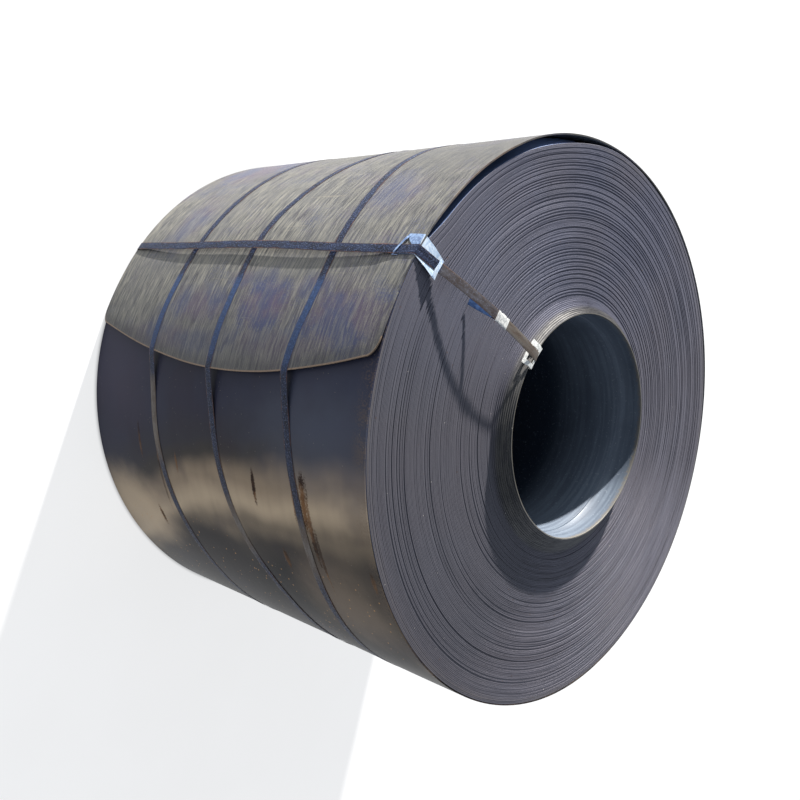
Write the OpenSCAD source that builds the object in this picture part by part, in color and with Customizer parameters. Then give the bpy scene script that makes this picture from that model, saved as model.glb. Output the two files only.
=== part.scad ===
// Steel coil of thick hot-rolled strip, strapped for transport and standing on its end.
// The coil's axis is Z and +Z is up. The origin is on the bore's axis, half-way along
// the strip's width. Each part is drawn lying, with its axis along X, the near end,
// which has the strap seal, at +X and the strip's free end at -Y. stand() then turns
// it up, so in the model the near end is on top and the free end faces -Y.
// Angles are in the drawing: 90 is -X in the model, 180 is -Y and 270 is +X.

/* [Coil] */
// Width of the steel strip, which is the length of the coil
strip_w = 1550; // [1500:10:1600]
// Thickness of the strip, and of one turn
strip_t = 5; // [3:0.5:6]
// Outer radius of the coil under its last turn
outer_r = 970; // [950:5:1000]
// Radius of the bore, half of a 30 inch mandrel
bore_r = 381; // [375:1:385]
// Number of stepped bands of turns that show on each end
bands = 46; // [24:1:60]
// How far the bands wander in and out of the end's plane
band_wander = 2.2; // [0:0.1:3]

/* [Telescoped core] */
// How far the innermost turns stand out at the near end
telescope = 50; // [20:5:60]
// Radial depth of the turns that have slipped
telescope_band = 60; // [50:1:80]

/* [Loose outer turn] */
// Widest gap between the last turn and the roll below it, at the near end
gap = 29; // [10:1:35]
// Angle of the middle of the gap
gap_mid = 100; // [90:1:110]
// Half of the angle that the gap spans
gap_half = 43; // [35:1:46]
// How far the gap runs in from the near end
gap_depth = 220; // [100:10:300]
// How far the loose turn's edge overhangs the near end
overhang = 12; // [5:1:15]

/* [Tail] */
// Angle of the tongue's tip, the strip's free end
tip_a = 167.3; // [164:0.1:170]
// Where along the axis the tip is
tip_x = 73; // [40:1:100]
// Angle at which the tail leaves the roll
lift_a = 145; // [143:1:150]
// Height that the tip has sprung off the turn below
tail_lift = 20; // [10:1:25]
// Angle by which the tongue's near side falls back
bow_near = 7.6; // [5:0.1:9]
// Angle by which the tongue's far side falls back
bow_far = 5.9; // [5:0.1:9]

/* [Straps] */
// Width of every steel strap
strap_w = 32; // [25:1:32]
// Thickness of every steel strap
strap_t = 0.9; // [0.8:0.1:1]
// Places of the three belly straps along the axis
belly_far_x = -350; // [-380:5:-320]
// Place of the middle belly strap
belly_mid_x = 30; // [10:1:40]
// Place of the belly strap nearest the near end
belly_near_x = 437; // [400:1:460]
// Angle at which the eye strap runs along the outside
eye_a = 142.2; // [141:0.1:143]
// Angle at which the eye strap runs through the bore
eye_bore_a = 136.4; // [136:0.1:138]
// Height of the eye strap's bow over the belly straps
eye_bow = 13; // [3:1:15]
// How far the strap stands off the near end where it leaves the outer protector
foot_rise = 14; // [4:1:20]
// How far the strap stands off the near end at the seal
seal_rise = 58; // [50:1:70]
// Length of the strap's spare end, which hangs down to the near end
spare_l = 84; // [60:1:130]

/* [Corner protectors] */
// Thickness of the galvanised outer protector
outer_prot_t = 1.5; // [1:0.1:2]
// Thickness of the inner protector, thin enough to leave the bore free
inner_prot_t = 0.7; // [0.5:0.1:0.8]

/* [Hidden] */
half_w = strip_w / 2;
big = 4 * outer_r;

function polar(r, a) = [r * cos(a), r * sin(a)];

// Lays a drawing made in (Y, Z) with its depth along X
module along_x() rotate([90, 0, 90]) children();
// Stands the drawing on its far end
module stand() rotate([0, -90, 0]) children();

// ---- the roll ----
// Slip of the turns at radius r, the same at both ends
function slip(r) =
    let (k = (r - bore_r) / telescope_band)
    k >= 1 ? 0 : telescope * pow(1 - k, 1.15);
// Small steps from band to band, from three waves that don't repeat
function wander(i) =
    band_wander * (0.5 * sin(i * 47) + 0.3 * sin(i * 101 + 30) + 0.2 * sin(i * 163 + 80));
core_r = outer_r - 1;       // outside of the roll without its last turn
last_r = outer_r - 1.5;     // inside of the last turn
function band_r(i) = bore_r + (core_r - bore_r) * i / bands;
function band_x(i) = slip(band_r(i)) + (i < 3 ? 0 : wander(i));
// The far end's bands bear on the floor, so none stands out past the strip's width
function far_x(i) = slip(band_r(i)) + (i < 3 ? 0 : max(0, wander(i)));

module roll_profile()
    polygon(concat(
        [for (i = [0 : bands - 1], k = [0, 1]) [band_r(i + k), half_w + band_x(i)]],
        [for (i = [bands - 1 : -1 : 0], k = [1, 0]) [band_r(i + k), -half_w + far_x(i)]]));

// Crescent that the last turn leaves free over the roll
gap_e = (pow(outer_r, 2) - pow(outer_r - gap, 2)) / (2 * (outer_r - gap - outer_r * cos(gap_half)));
module crescent()
    difference() {
        circle(r = outer_r + 20, $fn = 180);
        translate(-polar(gap_e, gap_mid)) circle(r = outer_r - gap + gap_e, $fn = 180);
        sector(gap_mid + 60, gap_mid + 300);
    }

// The last turn, as two half circles whose centres are moved apart so that it grows
// by one thickness in a full turn from the tongue round to the tongue
module turn_a(d)
    rotate(tip_a) intersection() {
        translate([strip_t / 4, 0]) circle(r = outer_r + 0.75 * strip_t + d, $fn = 180);
        translate([-big, -big]) square([2 * big, big]);
    }
module turn_b(d)
    rotate(tip_a) intersection() {
        translate([-strip_t / 4, 0]) circle(r = outer_r + 0.25 * strip_t + d, $fn = 180);
        translate([-big, 0]) square([2 * big, big]);
    }
module sector(a, b, r = big)
    polygon(concat([[0, 0]], [for (k = [0 : 4]) polar(r, a + (b - a) * k / 4)]));

// ---- the sprung tail ----
// The tail is an arc of larger radius that leaves the roll at lift_a
span = (tip_a - lift_a) * PI / 180 * outer_r;
tail_r = 1 / (1 / outer_r - 2 * tail_lift / pow(span, 2));
tail_c = outer_r + strip_t - 0.5 - tail_r;
function tail_at(a, d = 0) =
    let (b = a - lift_a)
    tail_c * cos(b) + sqrt(pow(tail_r + d, 2) - pow(tail_c * sin(b), 2));
module tail_disc(d) translate(polar(tail_c, lift_a)) circle(r = tail_r + d, $fn = 180);

// Angle of the free edge at x, and its height
function edge_a(x) =
    tip_a - (x > tip_x ? bow_near : bow_far) * pow(abs(x - tip_x) / half_w, 1.8);
function edge_z(x) = tail_at(edge_a(x)) * sin(edge_a(x));
corner_x = 40;
corner_z = 52;
module tongue_outline()
    polygon(concat(
        [[-half_w, big / 4], [-half_w, edge_z(-half_w + corner_x) + corner_z]],
        [for (k = [1 : 5]) let (a = 18 * k)
            [-half_w + corner_x * (1 - cos(a)), edge_z(-half_w + corner_x) + corner_z * (1 - sin(a))]],
        [for (k = [1 : 23]) let (x = -half_w + corner_x + (strip_w - 2 * corner_x) * k / 24)
            [x, edge_z(x)]],
        [for (k = [5 : -1 : 1]) let (a = 18 * k)
            [half_w - corner_x * (1 - cos(a)), edge_z(half_w - corner_x) + corner_z * (1 - sin(a))]],
        [[half_w, edge_z(half_w - corner_x) + corner_z], [half_w, big / 4]]));

module tail()
    intersection() {
        along_x() translate([0, 0, -half_w]) linear_extrude(strip_w)
            intersection() {
                difference() { tail_disc(0); tail_disc(-strip_t); }
                sector(lift_a - 3, tip_a + 3, 1.2 * outer_r);
            }
        rotate([90, 0, 0]) linear_extrude(1.2 * outer_r) tongue_outline();
    }

module coil() color([0.27, 0.27, 0.31]) stand() {
    difference() {
        along_x() rotate_extrude($fn = 180) roll_profile();
        along_x() translate([0, 0, half_w - gap_depth]) linear_extrude(gap_depth + 20) crescent();
    }
    along_x() translate([0, 0, -half_w]) linear_extrude(strip_w)
        difference() {
            union() {
                difference() { turn_a(0); sector(lift_a + 0.4, tip_a + 20); }
                turn_b(0);
                // the turn below goes on under the tail
                intersection() {
                    rotate(tip_a) translate([-strip_t / 4, 0]) circle(r = outer_r + 0.25 * strip_t, $fn = 180);
                    sector(lift_a - 1, tip_a + 1);
                }
            }
            circle(r = last_r, $fn = 180);
        }
    // the loose turn's edge, which overhangs the near end
    along_x() translate([0, 0, half_w - 1]) linear_extrude(overhang + 1)
        intersection() {
            difference() {
                circle(r = outer_r + 0.7 * strip_t, $fn = 180);
                circle(r = last_r + 0.5, $fn = 180);
            }
            sector(gap_mid - 24, gap_mid + 30);
        }
    tail();
}

// ---- straps ----
// Outline that a belly strap lies on: the last turn, the sprung tail up to the angle
// a of its edge, and the straight run from that edge down to the roll
module girth(d, a) {
    tip = tail_at(a, d);
    touch = a + acos((outer_r + d) / tip);
    turn_a(d);
    turn_b(d);
    intersection() { tail_disc(d); sector(lift_a - 3, a); }
    polygon([[0, 0], polar(0.8 * outer_r, a - 4), polar(tip, a), polar(outer_r + d - 0.8, touch + 1)]);
}

module belly_strap(x)
    color([0.15, 0.18, 0.27])
    stand() along_x() translate([0, 0, x - strap_w / 2]) linear_extrude(strap_w)
        difference() { girth(strap_t, edge_a(x)); girth(0, edge_a(x)); }

module belly_strap_far() belly_strap(belly_far_x);
module belly_strap_mid() belly_strap(belly_mid_x);
module belly_strap_near() belly_strap(belly_near_x);

// The eye strap's two end runs lie in one plane beside the axis, from the outside at
// eye_a to the bore at eye_bore_a. s is the distance along that line from the outside.
eye_p = polar(outer_r + strip_t, eye_a);
eye_q = polar(bore_r, eye_bore_a);
eye_len = norm(eye_q - eye_p);
eye_dir = atan2(eye_q[1] - eye_p[1], eye_q[0] - eye_p[0]);
// Draws in (s, x) and gives it a width across the line
module eye_plane(w)
    translate([0, eye_p[0], eye_p[1]])
    rotate([eye_dir, 0, 0])
    rotate([0, 0, 90]) mirror([0, 1, 0])
    translate([0, 0, -w / 2]) linear_extrude(w) children();

out_x = half_w + outer_prot_t + 1;           // plane of the strap on the outer protector
rim_x = half_w + telescope + inner_prot_t;   // plane of the strap on the core's rim
foot = 92;                                   // run of the strap on the outer protector
top_s = -(strap_t + outer_prot_t + 0.6);     // outside level of the strap at the near edge
seal_s = 0.62 * eye_len;                     // middle of the seal
run_k = (half_w + seal_rise - out_x - foot_rise) / (seal_s - foot);
run_b = (out_x + foot_rise + run_k * (eye_len - foot) - rim_x) / ((eye_len - foot) * (eye_len - seal_s));
// x of the near run at s, on its face towards the coil. It leans out with the
// protector's leg and then bows out over the seal, down to the core's rim.
function run_x(s) = s < foot ? out_x + foot_rise * max(0, s) / foot
    : out_x + foot_rise + run_k * (s - foot) - run_b * (s - foot) * (s - seal_s);
run_s = concat([0, foot], [for (k = [1 : 8]) foot + (eye_len + 4 - foot) * k / 8]);

module near_run()
    difference() {
        eye_plane(strap_w)
            polygon(concat([[top_s, out_x]], [for (s = run_s) [s, run_x(s)]],
                [for (k = [len(run_s) - 1 : -1 : 0]) [run_s[k], run_x(run_s[k]) + strap_t]],
                [[top_s, out_x + strap_t]]));
        along_x() translate([0, 0, half_w]) cylinder(r = bore_r - inner_prot_t - strap_t, h = 200, $fn = 180);
    }
module far_run()
    difference() {
        eye_plane(strap_w)
            polygon([[-strap_t - 0.6, -half_w - 0.1], [eye_len - telescope_band - 6, -half_w - 0.1],
                     [eye_len + 4, -half_w + telescope - 2], [eye_len + 4, -half_w + telescope - 2 - strap_t],
                     [eye_len - telescope_band - 6, -half_w - 0.1 - strap_t], [-strap_t - 0.6, -half_w - 0.1 - strap_t]]);
        along_x() translate([0, 0, -half_w - 50]) cylinder(r = bore_r - inner_prot_t - strap_t, h = 200, $fn = 180);
    }
// Outside run: low at both edges, bowed over the belly straps between them
function bow_r(k) = outer_r + strip_t + 0.6 + (eye_bow - 0.6) * pow(sin(180 * k), 0.45)
    + outer_prot_t * k;
module outside_run()
    rotate([eye_a, 0, 0]) translate([0, 0, -strap_w / 2]) linear_extrude(strap_w)
        mirror([1, -1]) polygon(concat(
            [for (k = [0 : 0.0625 : 1]) [bow_r(k), -half_w - 0.1 - strap_t + (out_x + half_w + 0.1 + 2 * strap_t) * k]],
            [for (k = [1 : -0.0625 : 0]) [bow_r(k) + strap_t, -half_w - 0.1 - strap_t + (out_x + half_w + 0.1 + 2 * strap_t) * k]]));
// Run through the bore, curved to its wall
eye_half = strap_w / 2 / bore_r * 180 / PI;
module bore_run()
    along_x() translate([0, 0, -half_w + telescope - 2]) linear_extrude(strip_w + inner_prot_t + 2 + strap_t)
        intersection() {
            difference() {
                circle(r = bore_r - inner_prot_t, $fn = 180);
                circle(r = bore_r - inner_prot_t - strap_t, $fn = 180);
            }
            sector(eye_bore_a - eye_half, eye_bore_a + eye_half, bore_r * 1.2);
        }
// The strap's spare end: it lies under the strap in the seal and then hangs down to the near end
module spare_end()
    eye_plane(strap_w)
        let (s0 = seal_s - seal_l / 2, s1 = seal_s + seal_l / 2, s2 = s0 - spare_l, tip = half_w + 8)
        polygon([[s1, run_x(s1) - strap_t], [s0, run_x(s0) - strap_t], [s2, tip],
                 [s2, tip + strap_t], [s0, run_x(s0) + 0.2], [s1, run_x(s1) + 0.2]]);

module eye_strap() color([0.15, 0.18, 0.27]) stand() {
    near_run();
    far_run();
    outside_run();
    bore_run();
    spare_end();
}

// Crimped sleeve that joins the strap's two ends
seal_l = 56; seal_w = 36; seal_t = 4;
module strap_seal() color([0.70, 0.72, 0.74]) stand()
    let (x0 = run_x(seal_s))
    difference() {
        eye_plane(seal_w)
            polygon([for (p = [[-seal_l / 2, -seal_t / 2], [seal_l / 2, -seal_t / 2], [seal_l / 2, seal_t / 2], [-seal_l / 2, seal_t / 2]])
                [seal_s + p[0], run_x(seal_s + p[0]) + p[1]]]);
        // the strap's own passage
        eye_plane(strap_w + 0.4)
            polygon([for (p = [[-seal_l / 2 - 1, -strap_t - 0.2], [seal_l / 2 + 1, -strap_t - 0.2], [seal_l / 2 + 1, strap_t + 0.2], [-seal_l / 2 - 1, strap_t + 0.2]])
                [seal_s + p[0], run_x(seal_s + p[0]) + p[1]]]);
        // crimp notches in both edges
        for (s = [-14, 14], side = [-1, 1])
            translate([x0 + 1.5, 0, 0]) rotate([eye_dir, 0, 0])
                translate([0, eye_s(seal_s + s), eye_w() + side * (seal_w / 2 + 1)])
                    cube([3 * seal_t, 4, 3], center = true);
    }
// Where the eye plane's line is once turned by eye_dir
function eye_s(s) = eye_p[0] * cos(eye_dir) + eye_p[1] * sin(eye_dir) + s;
function eye_w() = -eye_p[0] * sin(eye_dir) + eye_p[1] * cos(eye_dir);

// Sheet-metal corner over the near outer edge, with two windows and a raised bar in
// each leg. The leg on the end leans out with the strap.
prot_w = 70;
lean = atan(foot_rise / foot);
module leaned()
    rotate([eye_a, 0, 0]) translate([half_w, outer_r + strip_t, 0]) rotate([0, 0, lean])
        translate([-half_w, -outer_r - strip_t, 0]) rotate([-eye_a, 0, 0]) children();
module outer_protector() color([0.80, 0.84, 0.88]) stand() {
    edge = outer_r + strip_t;
    half = prot_w / 2 / outer_r * 180 / PI;
    // leg on the outside, with its windows beside the strap's path
    difference() {
        along_x() translate([0, 0, half_w - 62]) linear_extrude(62 + outer_prot_t)
            intersection() {
                difference() {
                    circle(r = edge + outer_prot_t, $fn = 180);
                    circle(r = edge, $fn = 180);
                }
                sector(eye_a - half, eye_a + half, 1.2 * outer_r);
            }
        for (side = [-1, 1])
            rotate([eye_a, 0, 0]) translate([half_w - 32, edge, side * 24]) cube([30, 12, 8], center = true);
    }
    bar(half_w - 55, true);
    // leg on the end
    leaned() {
        difference() {
            translate([half_w, 0, 0]) rotate([eye_a, 0, 0])
                rotate([0, 90, 0]) mirror([1, 0, 0]) linear_extrude(outer_prot_t)
                    polygon([[-prot_w / 2, edge + 1], [prot_w / 2, edge + 1], [25, edge - 95], [-25, edge - 95]]);
            for (side = [-1, 1])
                rotate([eye_a, 0, 0]) translate([half_w, edge - 40, side * 23]) cube([12, 44, 7], center = true);
        }
        bar(88, false);
    }
}
// A bar bridges the strap on the outside leg at x, or on the face leg at depth d
module bar(v, outside) {
    h = strap_t + 1.6;
    edge = outer_r + strip_t;
    for (side = [-1, 1], top = [0, 1])
        rotate([eye_a, 0, 0])
            if (outside)
                translate([v - 4, edge + (top ? h + 0.6 + outer_prot_t : outer_prot_t * 0.5), top ? -24 : side * 22 - 2])
                    cube([8, top ? 1.2 : h + 1.2 + outer_prot_t * 0.5, top ? 48 : 4]);
            else
                translate([half_w + (top ? h + 1.2 + outer_prot_t : outer_prot_t * 0.5), edge - v - 4, top ? -24 : side * 22 - 2])
                    cube([top ? 1.2 : h + 1.8 + outer_prot_t * 0.5, 8, top ? 48 : 4]);
}

// Thin angle on the rim of the slipped turns
module inner_protector() color([0.86, 0.88, 0.90]) stand() {
    half = 5;
    rim = half_w + telescope;
    along_x() rotate(eye_bore_a - half) rotate_extrude(angle = 2 * half, $fn = 180)
        polygon([[bore_r - inner_prot_t, rim - 40], [bore_r, rim - 40], [bore_r, rim],
                 [bore_r + 18, rim], [bore_r + 44, rim - 14], [bore_r + 44, rim - 14 + inner_prot_t],
                 [bore_r + 18, rim + inner_prot_t], [bore_r - inner_prot_t, rim + inner_prot_t]]);
}

coil();
belly_strap_far();
belly_strap_mid();
belly_strap_near();
eye_strap();
strap_seal();
outer_protector();
inner_protector();
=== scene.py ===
import bpy, math
import numpy as np
from mathutils import Matrix, Vector


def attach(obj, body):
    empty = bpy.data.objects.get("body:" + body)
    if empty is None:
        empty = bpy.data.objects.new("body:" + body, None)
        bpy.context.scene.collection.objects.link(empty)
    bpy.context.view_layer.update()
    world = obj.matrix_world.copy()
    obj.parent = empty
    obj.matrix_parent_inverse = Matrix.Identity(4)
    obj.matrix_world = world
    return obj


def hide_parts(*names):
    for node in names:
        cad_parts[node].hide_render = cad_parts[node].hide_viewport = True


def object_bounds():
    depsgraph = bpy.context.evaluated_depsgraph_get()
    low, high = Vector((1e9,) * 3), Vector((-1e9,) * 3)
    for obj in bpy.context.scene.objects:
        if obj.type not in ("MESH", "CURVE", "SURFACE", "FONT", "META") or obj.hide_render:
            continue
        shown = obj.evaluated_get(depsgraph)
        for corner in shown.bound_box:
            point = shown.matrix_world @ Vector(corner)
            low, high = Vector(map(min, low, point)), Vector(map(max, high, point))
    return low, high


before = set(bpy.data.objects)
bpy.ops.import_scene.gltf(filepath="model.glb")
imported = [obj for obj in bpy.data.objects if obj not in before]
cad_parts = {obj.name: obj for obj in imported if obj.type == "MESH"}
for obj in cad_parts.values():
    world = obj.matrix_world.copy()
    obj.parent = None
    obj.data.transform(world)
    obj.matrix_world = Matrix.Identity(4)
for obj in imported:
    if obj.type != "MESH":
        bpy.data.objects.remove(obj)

CAD_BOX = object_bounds()

# ------------------------------------------------------------------ frame
# The coil is drawn lying (millimetres, axis X, near end at +X, 90 degrees on top,
# 180 the free end's side) and then stood up the way the CAD part stands.
HALF = 775.0
OUT, BORE, T = 970.0, 381.0, 5.0
TIP_A, TIP_X, LIFT_A, LIFT = 167.3, 73.0, 145.0, 20.0


def stand(p):
    p = np.asarray(p, float)
    return np.stack([-p[..., 2], p[..., 1], p[..., 0]], -1) / 1000.0


def pol(x, r, a):
    a = np.radians(a)
    x, r, a = np.broadcast_arrays(np.asarray(x, float), np.asarray(r, float), a)
    return np.stack([x, r * np.cos(a), r * np.sin(a)], -1)


def smooth(v, a, b):
    t = np.clip((np.asarray(v, float) - a) / (b - a), 0, 1)
    return t * t * (3 - 2 * t)


def make(name, verts, faces, mat, attr=None, flat=False, sharp=None):
    """A mesh object from drawing coordinates; attr is a vector per point for the materials."""
    me = bpy.data.meshes.new(name)
    me.from_pydata(stand(verts).tolist(), [], [tuple(int(i) for i in f) for f in faces])
    if attr is not None:
        a = me.attributes.new("wound", "FLOAT_VECTOR", "POINT")
        a.data.foreach_set("vector", np.asarray(attr, np.float32).ravel())
    me.validate()
    me.update()
    me.materials.append(mat)
    ob = bpy.data.objects.new(name, me)
    bpy.context.scene.collection.objects.link(ob)
    if not flat:
        me.shade_smooth()
        if sharp:
            me.set_sharp_from_angle(angle=math.radians(sharp))
    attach(ob, "root")
    return ob


def grid_faces(n, m, wrap_n=False, wrap_m=False, base=0, flip=False):
    """Quads of an n by m grid of points, stored row by row."""
    i = np.arange(n if wrap_n else n - 1)
    j = np.arange(m if wrap_m else m - 1)
    i, j = np.meshgrid(i, j, indexing="ij")
    i2, j2 = (i + 1) % n, (j + 1) % m
    q = np.stack([i * m + j, i * m + j2, i2 * m + j2, i2 * m + j], -1).reshape(-1, 4) + base
    return q[:, ::-1] if flip else q


# ------------------------------------------------------------------ materials
class Mat:
    """Small helper that builds a node material."""

    def __init__(self, name):
        self.m = bpy.data.materials.new(name)
        self.m.use_nodes = True
        self.t = self.m.node_tree
        self.b = self.t.nodes["Principled BSDF"]
        self.co = self.t.nodes.new("ShaderNodeTexCoord").outputs["Object"]
        self.at = None

    def attr(self):
        if self.at is None:
            n = self.t.nodes.new("ShaderNodeAttribute")
            n.attribute_name = "wound"
            self.at = n.outputs["Vector"]
        return self.at

    def put(self, sock, v):
        if isinstance(v, bpy.types.NodeSocket):
            self.t.links.new(v, sock)
        elif v is not None:
            if hasattr(sock.default_value, "__len__") and not hasattr(v, "__len__"):
                v = (v,) * len(sock.default_value)
            if hasattr(sock.default_value, "__len__") and len(sock.default_value) == 4 and len(v) == 3:
                v = (*v, 1)
            sock.default_value = v

    def math(self, op, a, b=None, c=None, clamp=False):
        n = self.t.nodes.new("ShaderNodeMath")
        n.operation = op
        n.use_clamp = clamp
        for s, v in zip(n.inputs, (a, b, c)):
            self.put(s, v)
        return n.outputs[0]

    def vmath(self, op, a, b=None):
        n = self.t.nodes.new("ShaderNodeVectorMath")
        n.operation = op
        self.put(n.inputs[0], a)
        if b is not None:
            self.put(n.inputs[1], b)
        return n.outputs["Value"] if op in ("LENGTH", "DISTANCE", "DOT_PRODUCT") else n.outputs["Vector"]

    def sep(self, v):
        n = self.t.nodes.new("ShaderNodeSeparateXYZ")
        self.put(n.inputs[0], v)
        return n.outputs[0], n.outputs[1], n.outputs[2]

    def comb(self, x, y, z=0.0):
        n = self.t.nodes.new("ShaderNodeCombineXYZ")
        for s, v in zip(n.inputs, (x, y, z)):
            self.put(s, v)
        return n.outputs[0]

    def scale(self, v, s, off=(0, 0, 0)):
        n = self.t.nodes.new("ShaderNodeMapping")
        self.put(n.inputs["Vector"], v)
        n.inputs["Scale"].default_value = s
        n.inputs["Location"].default_value = off
        return n.outputs[0]

    def noise(self, v, scale=1.0, detail=3.0, rough=0.55, dist=0.0):
        n = self.t.nodes.new("ShaderNodeTexNoise")
        self.put(n.inputs["Vector"], v)
        n.inputs["Scale"].default_value = scale
        n.inputs["Detail"].default_value = detail
        n.inputs["Roughness"].default_value = rough
        n.inputs["Distortion"].default_value = dist
        return n.outputs[0]

    def cells(self, v, scale=1.0):
        n = self.t.nodes.new("ShaderNodeTexVoronoi")
        self.put(n.inputs["Vector"], v)
        n.inputs["Scale"].default_value = scale
        return n.outputs["Distance"], n.outputs["Color"]

    def step(self, v, a, b, lo=0.0, hi=1.0):
        """Smooth step of v from a to b; a may be over b."""
        n = self.t.nodes.new("ShaderNodeMapRange")
        n.interpolation_type = "SMOOTHSTEP"
        self.put(n.inputs[0], v)
        if a > b:
            a, b, lo, hi = b, a, hi, lo
        for s, x in zip(n.inputs[1:5], (a, b, lo, hi)):
            s.default_value = x
        return n.outputs[0]

    def mix(self, f, a, b, kind="MIX"):
        n = self.t.nodes.new("ShaderNodeMix")
        n.data_type = "RGBA"
        n.blend_type = kind
        n.clamp_factor = True
        self.put(n.inputs["Factor"], f)
        self.put(n.inputs[6], a)
        self.put(n.inputs[7], b)
        return n.outputs[2]

    def ramp(self, v, stops, kind="EASE"):
        n = self.t.nodes.new("ShaderNodeValToRGB")
        n.color_ramp.interpolation = kind
        e = n.color_ramp.elements
        while len(e) < len(stops):
            e.new(0.5)
        for k, (p, c) in zip(e, sorted(stops, key=lambda s: s[0])):
            k.position = p
            k.color = (*c, 1) if len(c) == 3 else c
        self.put(n.inputs[0], v)
        return n.outputs[0]

    def bump(self, h, dist, strength=1.0, normal=None):
        n = self.t.nodes.new("ShaderNodeBump")
        n.inputs["Strength"].default_value = strength
        n.inputs["Distance"].default_value = dist
        self.put(n.inputs["Height"], h)
        if normal is not None:
            self.put(n.inputs["Normal"], normal)
        return n.outputs[0]

    def set(self, **k):
        names = dict(color="Base Color", rough="Roughness", metal="Metallic", normal="Normal", spec="Specular IOR Level",
                     coat="Coat Weight", coat_rough="Coat Roughness", ior="IOR")
        for a, v in k.items():
            self.put(self.b.inputs[names[a]], v)
        return self.m


def rgb(r, g, b):
    """Display values 0-255 as linear colour."""
    return tuple((c / 255 / 12.92) if c / 255 <= 0.04045 else ((c / 255 + 0.055) / 1.055) ** 2.4 for c in (r, g, b))


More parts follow.
